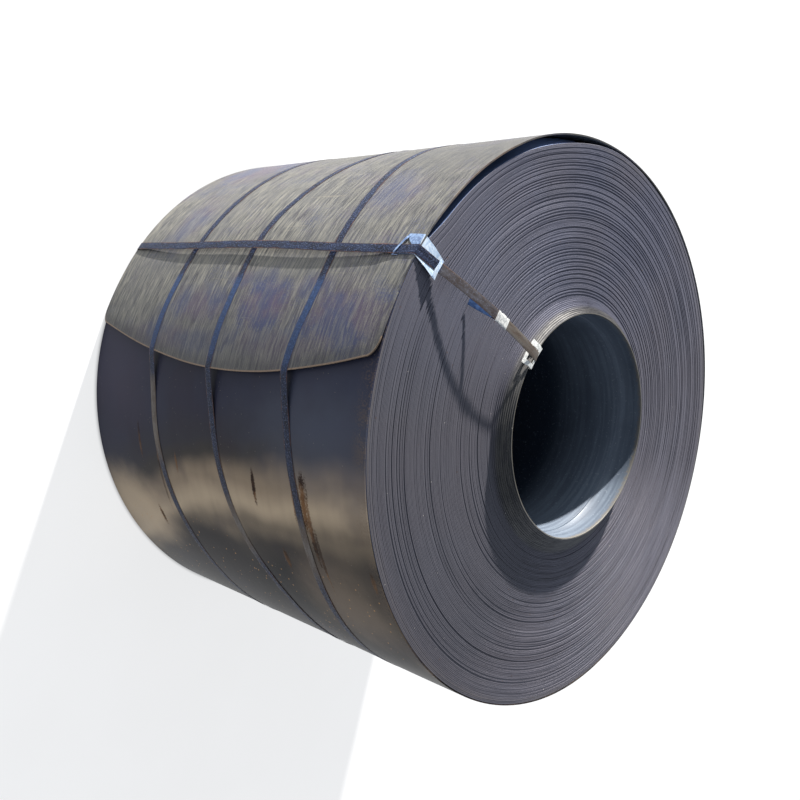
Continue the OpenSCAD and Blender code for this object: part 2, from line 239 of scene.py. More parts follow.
# -------- mill scale on the wound sheet. wound = (x m, angle / 100, distance from an edge m)
def sheet_material():
    g = Mat("mill_scale_sheet")
    at = g.attr()
    x, a, ed = g.sep(at)
    arc = g.math("MULTIPLY", a, 1.693)                      # metres round the coil
    flat = g.comb(x, arc, 0.0)
    big = g.noise(flat, 2.3, 3, 0.5)
    mid = g.noise(flat, 7.0, 4, 0.6)
    tiny = g.noise(flat, 150.0, 3, 0.65)
    # streaks along the strip
    wob = g.math("ADD", x, g.math("MULTIPLY", g.noise(g.scale(flat, (1.5, 5, 1)), 1.0, 2, 0.5), 0.02))
    line = g.comb(wob, arc, 0.0)
    s1 = g.noise(g.scale(line, (150, 14, 1)), 1.0, 2, 0.6)
    s2 = g.noise(g.scale(line, (115, 12, 1), (3, 7, 0)), 1.0, 2, 0.6)
    s3 = g.noise(g.scale(line, (240, 40, 1), (5, 2, 0)), 1.0, 2, 0.6)
    r1 = g.sep(g.cells(g.scale(line, (145, 13, 1)), 1.0)[1])[0]
    r2 = g.sep(g.cells(g.scale(line, (210, 24, 1), (3.3, 1.7, 0)), 1.0)[1])[1]
    streak = g.math("ADD", g.math("ADD", g.math("MULTIPLY", s1, 0.28), g.math("MULTIPLY", s2, 0.18)),
                    g.math("ADD", g.math("MULTIPLY", s3, 0.16), g.math("ADD", g.math("MULTIPLY", r1, 0.20), g.math("MULTIPLY", r2, 0.18))))
    top = g.ramp(streak, [(0.34, rgb(54, 54, 56)), (0.43, rgb(79, 79, 79)), (0.50, rgb(94, 93, 90)), (0.57, rgb(106, 104, 97)), (0.66, rgb(122, 120, 112))], "LINEAR")
    # single scratches, light and dark
    sc1 = g.noise(g.scale(line, (150, 12, 1), (8, 3, 0)), 1.0, 1, 0.5)
    sc2 = g.noise(g.scale(line, (140, 14, 1), (1, 9, 0)), 1.0, 1, 0.5)
    top = g.mix(g.step(sc2, 0.40, 0.33, 0.0, 0.55), top, rgb(40, 40, 43))
    top = g.mix(g.step(sc1, 0.60, 0.67, 0.0, 0.42), top, rgb(136, 133, 122))
    top = g.mix(g.step(a, 1.10, 0.70, 0.13, 0.50), top, rgb(88, 87, 85))
    top = g.mix(g.step(big, 0.42, 0.62, 0.0, 0.25), top, rgb(80, 81, 84))
    # painted shade: the sheet is darker over the top from about 136 degrees, and from about 146 degrees on the half
    # towards the near end, where the light falls fullest
    top = g.mix(g.step(a, 1.36, 1.02, 0.0, 0.45), top, rgb(50, 50, 50))
    top = g.mix(g.math("MULTIPLY", g.step(a, 1.46, 1.20), g.step(x, 0.0, 0.7, 0.0, 0.42)), top, rgb(50, 50, 50))
    # blue and purple temper patches, with a crisp speckle at their borders
    speck = g.math("MULTIPLY", g.math("SUBTRACT", tiny, 0.5), 0.9)
    field = g.math("ADD", g.noise(g.scale(flat, (3.1, 4.3, 1), (1.7, 0.4, 0)), 1.0, 5, 0.68), speck)
    pat = g.math("MULTIPLY", g.step(field, 0.53, 0.66), 0.42)

    def spot(cx, ca, rx, ra, soft=0.35, warp=0.5, fleck=0.0):
        dx = g.math("DIVIDE", g.math("SUBTRACT", x, cx / 1000.0), rx / 1000.0)
        da = g.math("DIVIDE", g.math("SUBTRACT", a, ca / 100.0), ra / 100.0)
        d = g.math("SQRT", g.math("ADD", g.math("MULTIPLY", dx, dx), g.math("MULTIPLY", da, da)))
        if warp:
            d = g.math("ADD", d, g.math("MULTIPLY", g.math("SUBTRACT", mid, 0.5), warp * 2))
        if fleck:
            d = g.math("ADD", d, g.math("MULTIPLY", speck, fleck))
        return g.step(d, 1.0 + soft, 1.0 - soft)

    for cx, ca, rx, ra, w in ((214, 154, 130, 5, 0.95), (600, 155.5, 190, 6, 0.8), (-150, 155, 170, 3.5, 0.7), (-300, 162, 250, 3, 0.5), (330, 161, 260, 3, 0.5),
                              (-560, 108, 200, 10, 0.6), (520, 128, 120, 5, 0.45), (-500, 133, 90, 6, 0.5), (40, 149, 60, 2.2, 0.6), (420, 150, 90, 2.4, 0.6)):
        pat = g.math("MAXIMUM", pat, g.math("MULTIPLY", spot(cx, ca, rx, ra, 0.5, 0.9, 2.2), w))
    hue = g.mix(g.step(mid, 0.40, 0.60), rgb(56, 62, 92), rgb(78, 68, 87))
    top = g.mix(g.math("MULTIPLY", pat, g.step(streak, 0.62, 0.42, 0.6, 1.0)), top, hue)
    # faint pale scuffs across the strip
    scuff = g.step(g.noise(g.scale(flat, (3, 60, 1), (0, 1, 0)), 1.0, 3, 0.6), 0.66, 0.74, 0.0, 0.4)
    top = g.mix(scuff, top, rgb(122, 116, 104))
    top = g.mix(g.step(tiny, 0.60, 0.72, 0.0, 0.35), top, rgb(132, 128, 118))

    top = g.mix(g.math("MULTIPLY", g.step(ed, 0.060, 0.012, 0.0, 0.45), g.step(a, 1.50, 1.58)), top, rgb(54, 53, 55))

    # painted highlight: a thin tan line along the tongue's edges
    top = g.mix(g.math("MULTIPLY", g.step(ed, 0.0055, 0.0030, 0.0, 0.75), g.step(a, 1.50, 1.58)), top, rgb(140, 118, 96))

    # the smooth, dark side: unwrapped angles -193 (under the tongue) to -60 (the far side). Its colours are mostly
    # painted light: a dark blue-purple painted sky reflection under the tongue, a tan band of painted ground
    # reflection, and painted shade that is darkest at the bottom
    aw = g.math("ADD", a, g.math("MULTIPLY", g.math("SUBTRACT", big, 0.5), 0.12))
    # the painted reflection band lies lower towards the far end
    aw = g.math("ADD", aw, g.step(x, -0.35, -0.72, 0.0, -0.022))
    tilt = g.math("ADD", aw, g.math("MULTIPLY", x, g.math("SUBTRACT", 0.147, g.math("MULTIPLY", x, 0.085))))
    k = g.math("MULTIPLY", g.math("ADD", tilt, 2.2), 1 / 2.2)      # 0 at -220, 1 at 0
    at_ = lambda deg: (deg + 220) / 220.0
    low = g.ramp(k, [(at_(-200), rgb(38, 40, 54)), (at_(-188), rgb(41, 43, 58)), (at_(-180), rgb(43, 43, 51)), (at_(-176), rgb(50, 47, 46)), (at_(-170.5), rgb(128, 113, 95)), (at_(-166), rgb(163, 146, 123)),
                     (at_(-161.5), rgb(106, 95, 81)), (at_(-156), rgb(50, 46, 43)), (at_(-149), rgb(25, 25, 26)), (at_(-132), rgb(27, 24, 23)), (at_(-108), rgb(32, 29, 28)), (at_(-90), rgb(44, 41, 40)),
                     (at_(-60), rgb(54, 52, 54)), (at_(-10), rgb(66, 66, 69))])
    soft = g.noise(g.scale(flat, (24, 2.2, 1), (2, 1, 0)), 1.0, 2, 0.5)
    low = g.mix(g.step(soft, 0.35, 0.65, 0.0, 0.07), low, rgb(32, 30, 35))
    low = g.mix(g.step(g.noise(flat, 3.4, 3, 0.5), 0.48, 0.62, 0.0, 0.35), low, rgb(40, 35, 46))
    # painted reflection: a lighter brown patch by the tan band towards the near end
    warm_ground_reflection = g.math("MULTIPLY", spot(570, -151, 180, 9, 0.8, 0.5), 0.8)
    low = g.mix(warm_ground_reflection, low, rgb(108, 95, 81))
    # painted reflection: a dark oval at the lower edge of the tan band
    dark_oval_reflection = spot(-175, -150.5, 250, 8.5, 0.35, 0.2)
    low = g.mix(g.math("MULTIPLY", dark_oval_reflection, 0.9), low, rgb(34, 31, 32))
    # painted reflection: a bright tan patch of the band towards the far end
    low = g.mix(g.math("MULTIPLY", spot(-640, -156.5, 230, 8.0, 0.7, 0.3), 0.85), low, rgb(172, 153, 128))
    # painted sky reflection: blue-grey and purple-grey patches under the tongue
    low = g.mix(g.math("MULTIPLY", spot(600, -184, 300, 8.5, 0.95, 0.4), 0.55), low, rgb(74, 80, 96))
    low = g.mix(g.math("MULTIPLY", spot(-640, -188, 230, 9.0, 0.9, 0.4), 0.4), low, rgb(66, 62, 80))
    # rusty stretch along the near edge
    near = g.math("MULTIPLY", g.step(x, 0.70, 0.775), g.step(g.math("ADD", mid, speck), 0.46, 0.66))
    low = g.mix(g.math("MULTIPLY", near, 0.45), low, rgb(98, 84, 72))
    dark = g.step(a, -0.45, -0.75)
    col = g.mix(dark, top, low)
    # brown marks and scratches
    rust = None
    for cx, ca, rx, ra, w in ((246, -171.7, 8, 3.0, 1.0), (-443, -156.4, 10, 2.4, 0.9), (331, -157.7, 11, 2.0, 0.75), (-215, -171.9, 8, 2.6, 0.7), (-455, -174.2, 7, 3.4, 0.6),
                              (744, -159.5, 10, 2.0, 0.6), (492, -171, 16, 5, 1.0), (508, -167, 10, 7, 0.9), (448, -172, 9, 4, 0.9), (524, -160, 6, 6, 0.7), (-338, -168, 6, 8, 0.5)):
        s = g.math("MULTIPLY", spot(cx, ca, rx, ra, 0.35, 1.3, 2.0), w)
        rust = s if rust is None else g.math("MAXIMUM", rust, s)
    col = g.mix(rust, col, g.mix(g.step(mid, 0.42, 0.58), rgb(44, 32, 27), rgb(104, 76, 52)))
    # specks: pale grit on the dark side, rust under the roll
    d, c = g.cells(flat, 95)
    pick = g.sep(c)[0]
    grit = g.math("MULTIPLY", g.step(d, 0.16, 0.10), g.step(pick, 0.90, 0.905))
    col = g.mix(g.math("MULTIPLY", grit, 0.5), col, rgb(130, 124, 112))
    d2, c2 = g.cells(flat, 48)
    rs = g.math("MULTIPLY", g.math("MULTIPLY", g.step(d2, 0.17, 0.10), g.step(g.sep(c2)[1], 0.45, 0.46)), g.math("MULTIPLY", g.step(a, -1.62, -1.52), g.step(a, -1.30, -1.38)))
    rs = g.math("MULTIPLY", rs, g.step(g.noise(flat, 4, 2, 0.5), 0.40, 0.52))
    col = g.mix(rs, col, rgb(172, 130, 84))
    # worn edges
    wear = g.math("MULTIPLY", g.step(ed, 0.008, 0.0), g.step(s2, 0.35, 0.60, 0.2, 0.7))
    col = g.mix(wear, col, rgb(104, 88, 76))
    rough = g.math("ADD", g.math("ADD", g.step(a, -0.45, -0.75, 0.52, 0.36), g.math("MULTIPLY", rust, 0.3)), g.math("MULTIPLY", g.math("SUBTRACT", streak, 0.5), g.step(a, -0.45, -0.75, 0.5, 0.06)))
    h = g.math("ADD", g.math("MULTIPLY", streak, g.step(a, -0.45, -0.75, 1.0, 0.012)), g.math("MULTIPLY", rust, 0.2))
    n = g.bump(h, 0.0035, 0.7)
    return g.set(color=col, rough=rough, metal=0.0, normal=n, spec=g.step(a, -0.45, -0.75, 0.16, 0.045))


# -------- the turns' edges on both ends. wound = (radius m, cos, sin)
def ends_material():
    g = Mat("strip_edges")
    r, cx, sx = g.sep(g.attr())
    ring = g.comb(g.math("MULTIPLY", r, 200.0), cx, sx)
    lap = g.noise(g.scale(ring, (0.62, 1.3, 1.3)), 1.0, 2, 0.7)
    band = g.noise(g.scale(ring, (0.11, 0.9, 0.9), (4, 2, 1)), 1.0, 3, 0.6)
    fine = g.noise(g.scale(ring, (1.7, 5, 5), (1, 5, 2)), 1.0, 2, 0.7)
    big = g.noise(g.co, 2.4, 3, 0.5)
    grain = g.noise(g.co, 260, 2, 0.5)
    v = g.math("ADD", g.math("MULTIPLY", lap, 0.40), g.math("ADD", g.math("MULTIPLY", band, 0.25), g.math("MULTIPLY", fine, 0.35)))
    col = g.ramp(v, [(0.38, rgb(46, 45, 52)), (0.44, rgb(73, 72, 80)), (0.50, rgb(85, 84, 93)), (0.57, rgb(94, 93, 102)), (0.64, rgb(108, 106, 115))], "LINEAR")
    # painted shade: flat, darker grey over the free end's side of the end
    col = g.mix(g.step(cx, -0.2, -0.75, 0.0, 0.8), col, rgb(76, 75, 81))
    col = g.mix(g.step(sx, 0.1, 0.8, 0.0, 0.35), col, rgb(84, 89, 110))
    # painted sunlight: lighter towards the lower near side and along the top, darker at the free end's side
    sun = g.math("ADD", g.math("MULTIPLY", cx, 0.75), g.math("ADD", g.math("MULTIPLY", sx, -0.15), g.math("MULTIPLY", g.math("SUBTRACT", big, 0.5), 2.2)))
    col = g.mix(g.step(sun, -0.4, 1.0, 0.0, 0.35), col, rgb(116, 113, 121))
    col = g.mix(g.step(big, 0.40, 0.62, 0.0, 0.25), col, rgb(80, 75, 79))
    col = g.mix(g.step(grain, 0.45, 0.75, 0.0, 0.15), col, rgb(104, 100, 100))
    # slipped inner turns: bare, greyer, in lit and shaded copies as painted light and shade: light over the top,
    # lighter at the top-left and the bottom, dark at the sides
    inner = g.step(g.math("ADD", r, g.math("MULTIPLY", sx, 0.018)), 0.436, 0.418)
    painted_lit_top = g.step(sx, 0.35, 0.85)
    cone = g.mix(g.step(fine, 0.40, 0.60), g.mix(painted_lit_top, rgb(56, 56, 55), rgb(66, 64, 62)), g.mix(painted_lit_top, rgb(82, 80, 75), rgb(98, 95, 90)))
    cone = g.mix(g.step(sx, -0.35, -0.80), cone, g.mix(g.step(fine, 0.40, 0.60), rgb(88, 87, 86), rgb(112, 110, 106)))
    cone = g.mix(g.math("MULTIPLY", painted_lit_top, g.step(cx, 0.1, -0.35)), cone, g.mix(g.step(fine, 0.40, 0.60), rgb(92, 90, 88), rgb(132, 129, 124)))
    col = g.mix(g.math("MULTIPLY", inner, 0.8), col, cone)
    lip = g.math("MULTIPLY", g.step(r, 0.390, 0.3855), g.step(r, 0.3800, 0.3806))
    col = g.mix(g.math("MULTIPLY", lip, 0.75), col, rgb(112, 106, 92))
    outer = g.math("MULTIPLY", g.step(r, 0.93, 0.965), g.step(lap, 0.45, 0.60))
    col = g.mix(g.math("MULTIPLY", outer, 0.5), col, rgb(100, 94, 92))
    d, c = g.cells(g.co, 42)
    pick = g.sep(c)
    dots = g.math("MULTIPLY", g.step(d, 0.10, 0.05), g.step(pick[0], 0.93, 0.935))
    col = g.mix(g.math("MULTIPLY", dots, 0.7), col, rgb(168, 162, 156))
    rdots = g.math("MULTIPLY", g.step(d, 0.20, 0.08), g.step(pick[1], 0.95, 0.955))
    col = g.mix(g.math("MULTIPLY", rdots, 0.5), col, rgb(78, 60, 50))
    rough = g.step(lap, 0.3, 0.7, 0.46, 0.64)
    return g.set(color=col, rough=rough, metal=0.0, normal=g.bump(g.math("ADD", fine, g.math("MULTIPLY", grain, 0.4)), 0.0012, 0.5), spec=0.25)


# -------- bore wall and the roll's inside surfaces
def bore_material():
    g = Mat("bore_wall")
    x, y, z = g.sep(g.co)
    n1 = g.noise(g.scale(g.co, (3, 3, 60)), 1.0, 3, 0.6)
    n2 = g.noise(g.co, 5.0, 3, 0.5)
    col = g.mix(g.step(n1, 0.4, 0.62), rgb(82, 90, 101), rgb(94, 103, 114))
    col = g.mix(g.step(n2, 0.45, 0.65, 0.0, 0.5), col, rgb(72, 79, 90))
    # painted shade: darker deeper in the bore, away from the near end
    col = g.mix(g.step(z, 0.56, 0.40), col, rgb(38, 46, 58))
    n3 = g.noise(g.co, 120.0, 2, 0.5)
    col = g.mix(g.step(n3, 0.62, 0.72, 0, 0.4), col, rgb(128, 136, 144))
    # painted light: the roll's outside seen in the shaded gap under the loose turn is a lit navy, and a light blue at
    # the top
    far_r = g.vmath("LENGTH", g.vmath("MULTIPLY", g.co, (1, 1, 0)))
    col = g.mix(g.step(far_r, 0.80, 0.85, 0, 0.95), col, rgb(74, 90, 124))
    col = g.mix(g.math("MULTIPLY", g.step(far_r, 0.80, 0.85), g.step(x, -0.86, -0.95)), col, rgb(140, 162, 208))
    # a rusty lip by the rim
    lip = g.step(g.math("ADD", z, g.math("MULTIPLY", g.math("SUBTRACT", n3, 0.5), 0.03)), 0.800, 0.818)
    col = g.mix(g.math("MULTIPLY", lip, 0.7), col, rgb(104, 95, 80))
    return g.set(color=col, rough=g.step(n1, 0.3, 0.7, 0.40, 0.55), metal=0.0, normal=g.bump(n1, 0.0012, 0.4), spec=0.25)


# -------- painted strap. wound = (length m, across m from the middle, wear: 0 painted, 1 bare)
def strap_material():
    g = Mat("painted_strap")
    s, w, bare = g.sep(g.attr())
    v = g.comb(s, w, 0.0)
    n1 = g.noise(v, 90, 3, 0.6)
    n2 = g.noise(g.scale(v, (14, 60, 1)), 1.0, 3, 0.6)
    n3 = g.noise(v, 210, 3, 0.7)
    col = g.mix(g.step(n2, 0.38, 0.62), rgb(15, 19, 32), rgb(26, 34, 54))
    col = g.mix(g.step(n1, 0.54, 0.62, 0, 0.7), col, rgb(36, 46, 72))
    col = g.mix(g.step(n3, 0.55, 0.61, 0, 0.75), col, rgb(82, 92, 118))
    edge = g.math("ADD", g.math("ABSOLUTE", w), g.math("MULTIPLY", g.math("SUBTRACT", n1, 0.5), 0.008))
    worn = g.step(edge, 0.0125, 0.0155)
    col = g.mix(g.math("MULTIPLY", worn, 0.80), col, g.mix(g.step(n2, 0.42, 0.58), rgb(88, 58, 44), rgb(32, 27, 32)))
    brown = g.mix(g.step(n2, 0.36, 0.64), rgb(80, 70, 62), rgb(96, 90, 84))
    brown = g.mix(g.step(n3, 0.56, 0.68, 0, 0.5), brown, rgb(120, 114, 104))
    col = g.mix(g.math("MULTIPLY", g.step(bare, 0.0, 1.0), g.step(n1, 0.20, 0.50, 0.75, 1.0)), col, brown)
    # the spare end's back is clean blue, the run over the end grey; the same lighter blue on the belly straps across
    # the tongue is painted sky light
    col = g.mix(g.step(bare, -0.3, -0.9), col, g.mix(g.step(n1, 0.4, 0.6), rgb(44, 64, 100), rgb(58, 82, 122)))
    return g.set(color=col, rough=g.step(n1, 0.35, 0.65, 0.40, 0.60), metal=0.0, normal=g.bump(n3, 0.0004, 0.4), spec=0.12)


def metal_material(name, dark, light, spangle, rough=0.34, metal=0.85, side=None):
    g = Mat(name)
    d, c = g.cells(g.co, spangle)
    f = g.sep(c)[0]
    n = g.noise(g.co, 40, 3, 0.6)
    m = g.noise(g.co, 300, 2, 0.5)
    v = g.math("ADD", g.math("MULTIPLY", f, 0.4), g.math("MULTIPLY", n, 0.6))
    col = g.mix(g.step(v, 0.25, 0.75), dark, light)
    if side:                                                # bluer on the leg that lies outside
        z = g.sep(g.co)[2]
        col = g.mix(g.step(z, 0.7762, 0.7745), col, g.mix(g.step(v, 0.3, 0.7), side[0], side[1]))
    col = g.mix(g.step(n, 0.62, 0.72, 0, 0.35), col, rgb(120, 116, 110))
    return g.set(color=col, rough=g.step(v, 0.2, 0.8, rough, rough + 0.2), metal=metal, normal=g.bump(m, 0.0004, 0.4))


SHEET = sheet_material()
ENDS = ends_material()
WALL = bore_material()
STRAP = strap_material()
GALV = metal_material("galvanised_sheet", rgb(160, 180, 204), rgb(196, 208, 220), 160, 0.40, 0.30, (rgb(84, 104, 138), rgb(122, 145, 178)))
PALE = metal_material("galvanised_pale", rgb(164, 166, 164), rgb(206, 206, 202), 200, 0.42, 0.25)
SEAL = metal_material("seal_steel", rgb(168, 168, 166), rgb(216, 215, 210), 260, 0.42, 0.25)

# ------------------------------------------------------------------ shape functions
SPAN = math.radians(TIP_A - LIFT_A) * OUT
TAIL_R = 1 / (1 / OUT - 2 * LIFT / SPAN ** 2)
TAIL_C = OUT + T - 0.5 - TAIL_R


def tail_at(a, d=0.0):
    b = np.radians(np.asarray(a, float) - LIFT_A)
    return TAIL_C * np.cos(b) + np.sqrt((TAIL_R + d) ** 2 - (TAIL_C * np.sin(b)) ** 2)


def edge_a(x):
    x = np.asarray(x, float)
    return TIP_A - np.where(x > TIP_X, 7.6, 5.9) * np.abs((x - TIP_X) / HALF) ** 1.8


def edge_z(x):
    a = edge_a(x)
    return tail_at(a) * np.sin(np.radians(a))


def angle_of_z(z):
    """Angle on the tail's outside at height z."""
    lo, hi = np.full(np.shape(z), 120.0), np.full(np.shape(z), 172.0)
    for _ in range(40):
        mid = (lo + hi) / 2
        big = tail_at(mid) * np.sin(np.radians(mid)) > z
        lo, hi = np.where(big, mid, lo), np.where(big, hi, mid)
    return (lo + hi) / 2


def spiral(a):
    """Outside of the last turn at unwrapped angle a."""
    return OUT + T - T * (TIP_A - np.asarray(a, float)) / 360.0


# the gap under the loose turn
GAP = 29.0


def under_gap(a):
    """Outside of the roll below the loose turn, at the near end: a wide gap by the strap, a thin one past the top."""
    a = np.asarray(a, float) % 360
    wide_ = GAP * (1 - smooth(a, 132, 145)) * smooth(a, 72, 98)
    thin = 7.0 * smooth(a, 40, 58) * (1 - smooth(a, 72, 98))
    return OUT - wide_ - thin


def slip(r):
    k = (np.asarray(r, float) - BORE) / 60.0
    return np.where(k >= 1, 0, 50 * np.clip(1 - k, 0, 1) ** 1.15)


# ------------------------------------------------------------------ the roll
rng = np.random.default_rng(11)
SEG = 200
LAPS = 118
ang = np.arange(SEG) * 360.0 / SEG                          # ring angles
# the roll's outside: under the tail it is one turn lower
un = (TIP_A - ang) % 360.0
core = np.where(un < 25.0, OUT - T - 0.4, OUT - 0.4 - T * un / 360.0)
rim = np.minimum(core, under_gap(ang) - 0.3)
pitch = (OUT - 0.4 - BORE - T) / (LAPS - 1)
R_FIX = 790.0


def lap_r(r, outer):
    """Radius of a turn that would be at r on a full roll, where the roll's outside is at outer."""
    return np.where(r > R_FIX, R_FIX + (r - R_FIX) * (outer - R_FIX) / (OUT - 0.4 - R_FIX), r)


def waves(n, amp, k=3):
    """Seeded smooth rings: n rows of values round the circle."""
    t = np.radians(ang)[None, :]
    out = np.zeros((n, SEG))
    for m in range(1, k + 1):
        out += (rng.normal(0, 1, (n, 1)) * np.cos(m * t) + rng.normal(0, 1, (n, 1)) * np.sin(m * t)) / m
    return out * amp


slow = np.convolve(rng.normal(0, 1, LAPS + 12), np.hanning(9) / 2.1, "same")[6:-6]
base = slow * 0.16 + rng.normal(0, 0.13, LAPS)
off = base[:, None] + waves(LAPS, 0.07)
deep = np.zeros(LAPS)
k = 3
while k < LAPS - 6:                                          # set-back turns, which read as dark lines
    deep[k] = rng.uniform(1.3, 3.4)
    k += int(rng.integers(2, 5))
fade = np.clip(0.60 + 0.42 * np.cos(np.radians(ang - 50))[None, :] + waves(LAPS, 0.22, 2), 0.04, 1.0)
off -= deep[:, None] * fade
# the outer turns wander more, and stand out or back by a few millimetres
outer_wander = np.zeros(LAPS)
outer_wander[:16] = rng.normal(0, 0.6, 16) * np.linspace(1.0, 0.25, 16)
off += outer_wander[:, None] * (0.75 + waves(LAPS, 0.2, 2))
off = np.clip(off, -7.0, 2.6)
nom = OUT - 0.4 - pitch * np.arange(LAPS)                    # outer radius of each lap, full roll
inner_cut = LAPS - 1                                         # the last lap starts 100 mm in
prof_r, prof_x, prof_w = [], [], []                          # rows of the closed profile


def row(r, x):
    prof_r.append(np.broadcast_to(r, (SEG,)).astype(float))
    prof_x.append(np.broadcast_to(x, (SEG,)).astype(float))


prev = None
for k in range(LAPS - 1):
    ro = lap_r(nom[k], rim)
    ri = lap_r(nom[k] - pitch, rim)
    xk = HALF + slip(nom[k] - pitch / 2) + off[k] * (1.0 if nom[k] > 445 else 0.25)
    lower = xk if prev is None else np.minimum(xk, prev)
    th = ro - ri
    row(ro - 0.02 * th, lower - (1.5 if prev is not None else 0.6))
    row(ro - 0.13 * th, xk)
    row(ri + 0.09 * th, xk)
    prev = xk
near_rows = len(prof_r)
wall_r = nom[LAPS - 1]                                       # inside of the last full lap
row(wall_r, prev - 1.0)
row(wall_r, HALF + 20)
inset = 722.0 + 2.5 * np.sin(np.radians(2 * ang)) + 1.5 * np.sin(np.radians(5 * ang + 40))
row(wall_r, inset)
row(wall_r - 0.8, inset - 0.6)
row(BORE + 0.6, inset - 0.6)
row(BORE, inset - 1.6)
for x in (600, 400, 200, 0, -200, -400, -600, -724):
    row(BORE, x)
# far end, in coarser steps
FB = 44
fr = np.linspace(BORE, OUT - 0.4, FB + 1)
fo = np.maximum(0, rng.normal(0, 1.1, FB))
for j in range(FB):
    xk = -HALF + slip((fr[j] + fr[j + 1]) / 2) + (fo[j] if j > 1 else 0)
    row(lap_r(fr[j] + 0.5, core), xk)
    row(lap_r(fr[j + 1] - 0.5, core), xk)
far_end = len(prof_r)
for x in (-700, -300, 100, 400):
    row(core, x)
for x in (680, 694, 708, 720, 732, 744, 755, 765):
    row(core - (core - rim) * smooth(x, 676, 770), x)
R, X = np.array(prof_r), np.array(prof_x)
P = pol(X, R, ang[None, :])
n_rows = len(R)
faces = grid_faces(n_rows, SEG, wrap_n=True, wrap_m=True)
ca, sa = np.cos(np.radians(ang)), np.sin(np.radians(ang))
att = np.stack([R / 1000.0, np.broadcast_to(ca, R.shape), np.broadcast_to(sa, R.shape)], -1)
roll = make("coil_turns", P.reshape(-1, 3), faces, ENDS, att.reshape(-1, 3), flat=True)
roll.data.materials.append(WALL)
mi = np.zeros(len(faces), np.int32)
rr = np.repeat(np.arange(n_rows), SEG)
mi[(rr >= near_rows) & (rr < near_rows + 13)] = 1
mi[(rr >= far_end)] = 1
smooth_faces = ((rr >= near_rows) & (rr < near_rows + 13)) | (rr >= far_end)
if len(roll.data.polygons) == len(faces):
    roll.data.polygons.foreach_set("material_index", mi)
    roll.data.polygons.foreach_set("use_smooth", smooth_faces)
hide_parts("coil")

# ------------------------------------------------------------------ last turn and sprung tail
ca_ = np.radians(np.arange(0, 91, 15))
corner = 40 * (1 - np.cos(ca_))                              # 0 .. 40 in from the side edge
drop = 52 * (1 - np.sin(ca_))                                # how far the corner falls back
xs = np.concatenate([-HALF + corner, np.linspace(-HALF + 40, HALF - 40, 62)[1:-1], (HALF - corner)[::-1]])
back_z = np.concatenate([drop, np.zeros(60), drop[::-1]])
clampx = np.clip(xs, -HALF + 40, HALF - 40)
ripple = 1.2 * np.sin(xs / 118.0 + 0.7) + 0.8 * np.sin(xs / 61.0)
a0 = angle_of_z(edge_z(clampx) + back_z + 0.6 * ripple)
JT = 30
rows_a, rows_r = [], []
for j in range(JT):
    t = (j / JT) ** 0.9
    a = a0 + (143.0 - a0) * t
    r = np.where(a > LIFT_A, tail_at(a), spiral(a) - 0.19)
    # the free edge isn't quite straight: it waves by a millimetre or so
    r = r + np.minimum(0.0, ripple) * 0.9 * (1 - t) ** 2
    rows_a.append(a); rows_r.append(r)
body = np.concatenate([np.arange(143.0, 40.0, -1.0), np.arange(40.0, -130.0, -2.0), np.arange(-130.0, -217.5, -1.25)])
for a in body:
    rows_a.append(np.full(len(xs), a))
    rows_r.append(np.full(len(xs), spiral(a) - (0.19 if a > 142 else 0.0)))
A, RO = np.array(rows_a), np.array(rows_r)
XX = np.broadcast_to(xs, A.shape).copy()
# near edge: the loose turn overhangs the end by up to 12 mm
over = 9.0 * smooth(A, 94, 112) * (1 - smooth(A, 130, 146)) + 1.5 * smooth(A, -60, 0) * (1 - smooth(A, 60, 80))
over += 0.9 * np.sin(np.radians(A * 3.1)) + 0.5 * np.sin(np.radians(A * 7.3 + 50))
over += -2.0 * smooth(A, -150, -190)
XX += over * smooth(XX, 640, 772)
# light dents and waves in the sheet, always inwards
dent = 0.35 * (np.sin(XX / 173 + A / 9.0) + np.sin(XX / 97 - A / 14.0) - 2)
RO = RO + dent * np.where(A < 150, 1, 0.5)
edge_d = np.minimum(HALF + 11 - np.abs(XX), 60) / 1000.0
tail_d = np.clip((a0[None, :] - A) * math.pi / 180 * OUT, 0, 60) / 1000.0
edge_d = np.minimum(edge_d, tail_d)
outer = pol(XX, RO, A)
inner = pol(XX, RO - T + 0.15, A)
n, m = A.shape
V = np.concatenate([outer.reshape(-1, 3), inner.reshape(-1, 3)])
att = np.stack([XX / 1000.0, A / 100.0, edge_d], -1).reshape(-1, 3)
att = np.concatenate([att, att])
F = [grid_faces(n, m, flip=False), grid_faces(n, m, base=n * m, flip=True)]


def stitch(a, b):
    """Quads between two equal lines of point numbers."""
    return np.stack([a[:-1], a[1:], b[1:], b[:-1]], -1)


ids = np.arange(n * m).reshape(n, m)
for line, fl in ((ids[0, :], True), (ids[-1, :], False), (ids[:, 0], False), (ids[:, -1], True)):
    q = stitch(line, line + n * m)
    F.append(q[:, ::-1] if fl else q)
last = make("coil_last_turn", V, np.concatenate(F), SHEET, att, sharp=35)
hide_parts("coil")

# ------------------------------------------------------------------ swept straps
SW, ST = 32.0, 0.9


